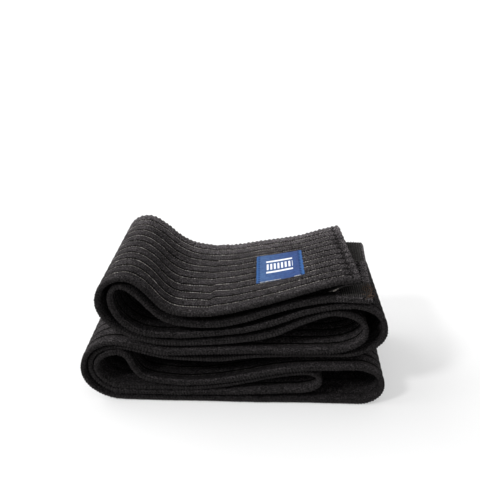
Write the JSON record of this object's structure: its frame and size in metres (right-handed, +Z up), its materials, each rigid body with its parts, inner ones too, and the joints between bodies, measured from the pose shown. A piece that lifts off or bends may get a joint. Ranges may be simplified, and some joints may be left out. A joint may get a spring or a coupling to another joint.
{
  "type": "knee wrap",
  "caption": "Long ribbed elastic knee wrap, folded in half and then to and fro into a loose stack, with a woven label and fastener tape at its ends.",
  "frame": {"origin": "middle of the footprint, on the surface that the bundle lies on", "axes": "+X along the stack, from the rounded folds to the band's two ends; +Y across the band, away from the viewer; +Z up"},
  "size_m": [0.1878, 0.082, 0.0901],
  "materials": {
    "band": "charcoal black ribbed elastic, matt, lightly heathered",
    "label": "royal blue woven label, slight sheen",
    "tape": "black fastener tape, fine ridges"
  },
  "bodies": {
    "root": {"elastic_band": "band", "label_patch": "label", "hook_tape_back": "tape", "hook_tape_front": "tape", "loop_tape": "tape"}
  },
  "joints": []
}
